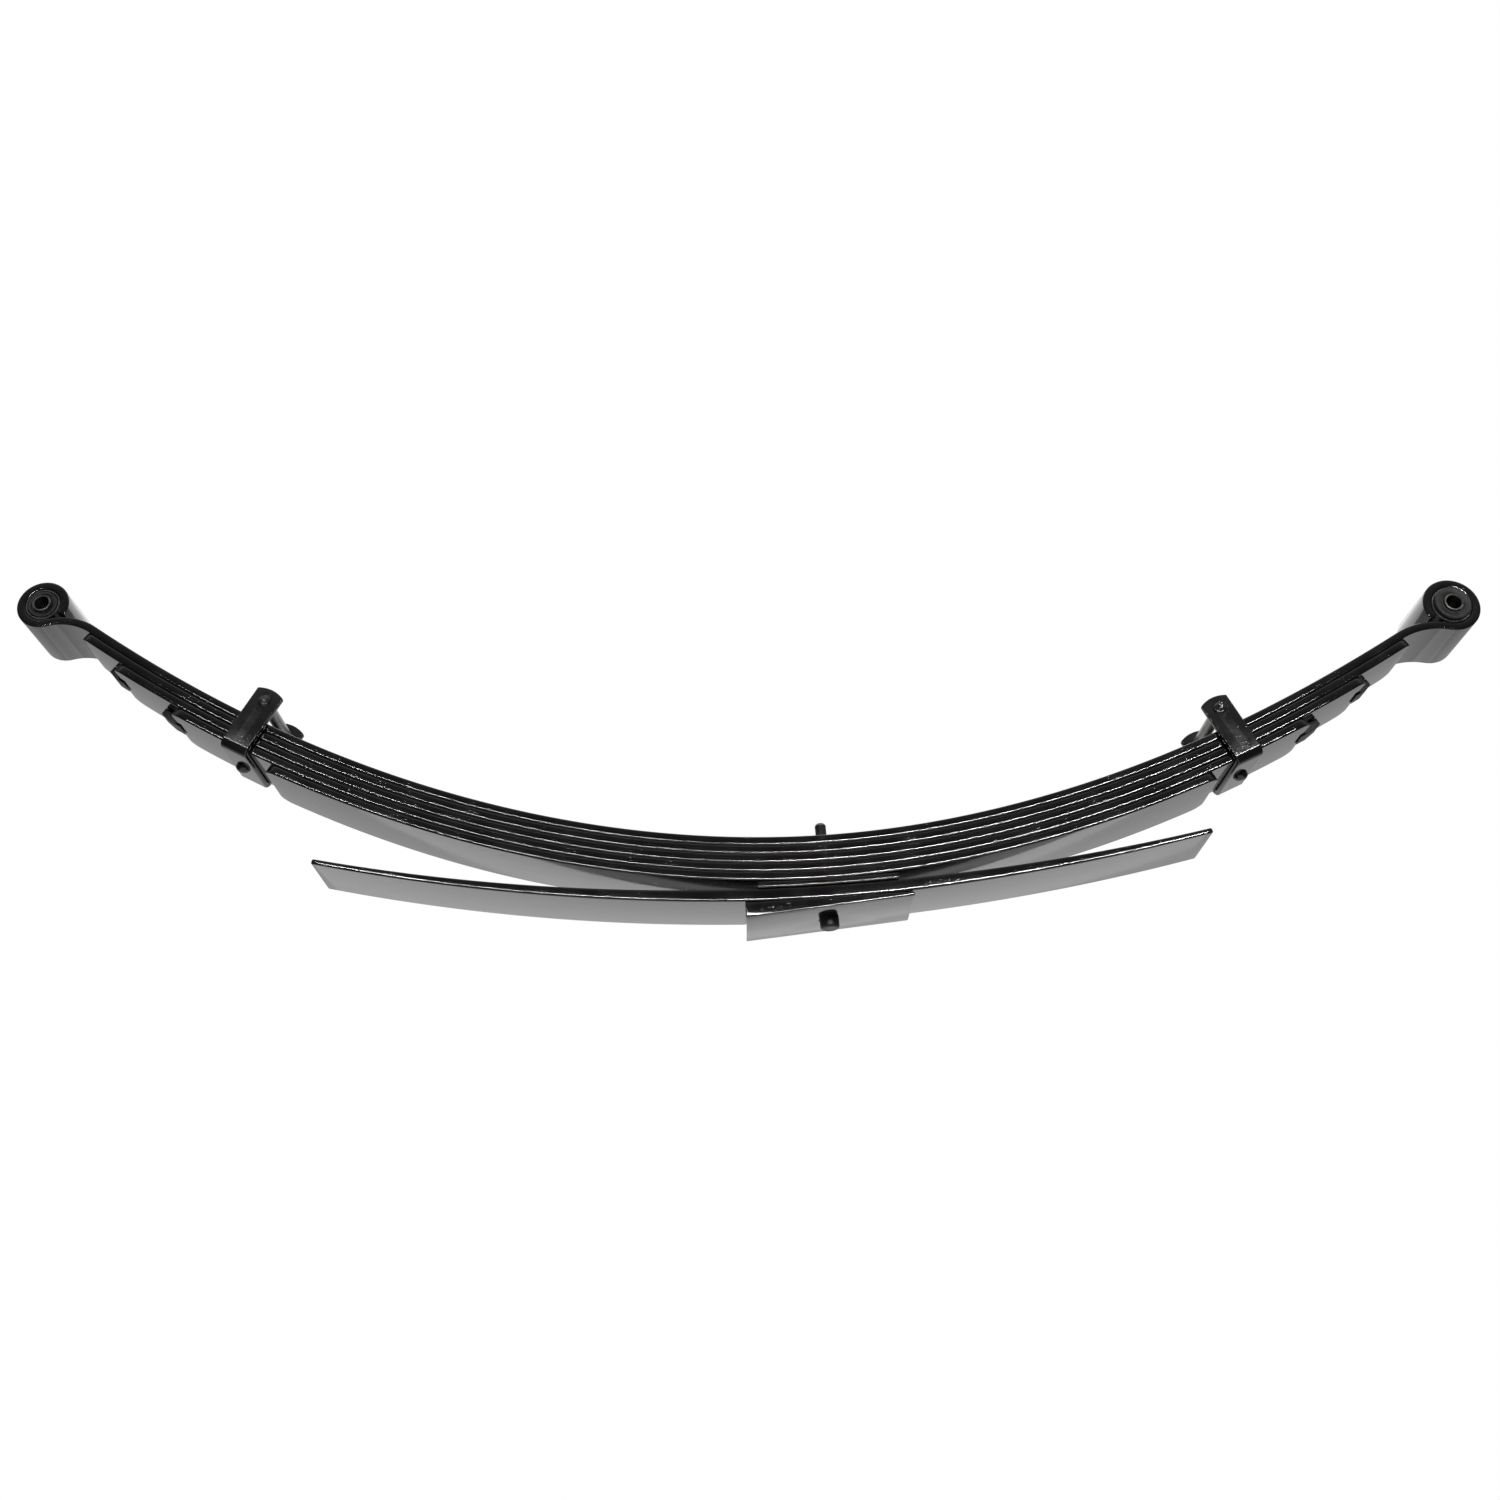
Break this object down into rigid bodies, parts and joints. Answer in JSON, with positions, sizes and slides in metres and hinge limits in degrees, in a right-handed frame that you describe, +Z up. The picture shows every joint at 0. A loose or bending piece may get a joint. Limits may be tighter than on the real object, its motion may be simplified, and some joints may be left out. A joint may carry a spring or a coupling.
{
  "type": "leaf spring",
  "caption": "Semi-elliptic truck leaf spring: arched pack with bushed upturned eyes, rebound clamps, overload leaf and axle wedge.",
  "frame": {"origin": "where the centre bolt's axis meets the axle seat, the under face of the wedge", "axes": "+Z up as installed, +X to the vehicle's front along the line between the eyes, +Y to the vehicle's left"},
  "size_m": [1.2811, 0.0782, 0.3125],
  "materials": {
    "black_steel": "satin black paint over rolled steel",
    "fastener_steel": "dark phosphated steel",
    "tube_steel": "plain steel tube",
    "rubber": "matte black rubber",
    "pad_plastic": "matte black plastic"
  },
  "bodies": {
    "spring_pack": {"main_leaf": "black_steel", "second_leaf": "black_steel", "third_leaf": "black_steel", "fourth_leaf": "black_steel", "fifth_leaf": "black_steel", "overload_leaf": "black_steel", "pack_spacer": "black_steel", "axle_wedge": "black_steel", "center_bolt": "fastener_steel", "center_nut": "fastener_steel"},
    "front_arm": {"front_bushing_shell": "fastener_steel", "front_bushing_rubber": "rubber", "front_clamp_strap": "black_steel", "front_clamp_bolt": "black_steel", "front_clamp_tube": "tube_steel", "front_clamp_rivet": "black_steel", "front_tip_pad_upper": "pad_plastic", "front_tip_pad_lower": "pad_plastic"},
    "rear_arm": {"rear_bushing_shell": "fastener_steel", "rear_bushing_rubber": "rubber", "rear_clamp_strap": "black_steel", "rear_clamp_bolt": "black_steel", "rear_clamp_tube": "tube_steel", "rear_clamp_rivet": "black_steel", "rear_tip_pad_upper": "pad_plastic", "rear_tip_pad_lower": "pad_plastic"},
    "front_sleeve": {"front_inner_sleeve": "fastener_steel"},
    "rear_sleeve": {"rear_inner_sleeve": "fastener_steel"}
  },
  "joints": [
    {"name": "front_flex", "type": "hinge", "parent": "spring_pack", "child": "front_arm", "pos_m": [0.14418, 0, 0.08317], "axis": [0, 1, 0], "range_deg": [0, 8], "stiffness_Nm_per_rad": 2900, "deforming": ["main_leaf", "second_leaf", "third_leaf", "fourth_leaf", "fifth_leaf"]},
    {"name": "rear_flex", "type": "hinge", "parent": "spring_pack", "child": "rear_arm", "pos_m": [-0.15461, 0, 0.06188], "axis": [0, -1, 0], "range_deg": [0, 8], "stiffness_Nm_per_rad": 2800, "deforming": ["main_leaf", "second_leaf", "third_leaf", "fourth_leaf", "fifth_leaf"]},
    {"name": "front_bushing_twist", "type": "hinge", "parent": "front_arm", "child": "front_sleeve", "pos_m": [0.5495, 0, 0.2782], "axis": [0, 1, 0], "range_deg": [-20, 20], "stiffness_Nm_per_rad": 40},
    {"name": "rear_bushing_twist", "type": "hinge", "parent": "rear_arm", "child": "rear_sleeve", "pos_m": [-0.6842, 0, 0.2784], "axis": [0, 1, 0], "range_deg": [-20, 20], "stiffness_Nm_per_rad": 40}
  ]
}
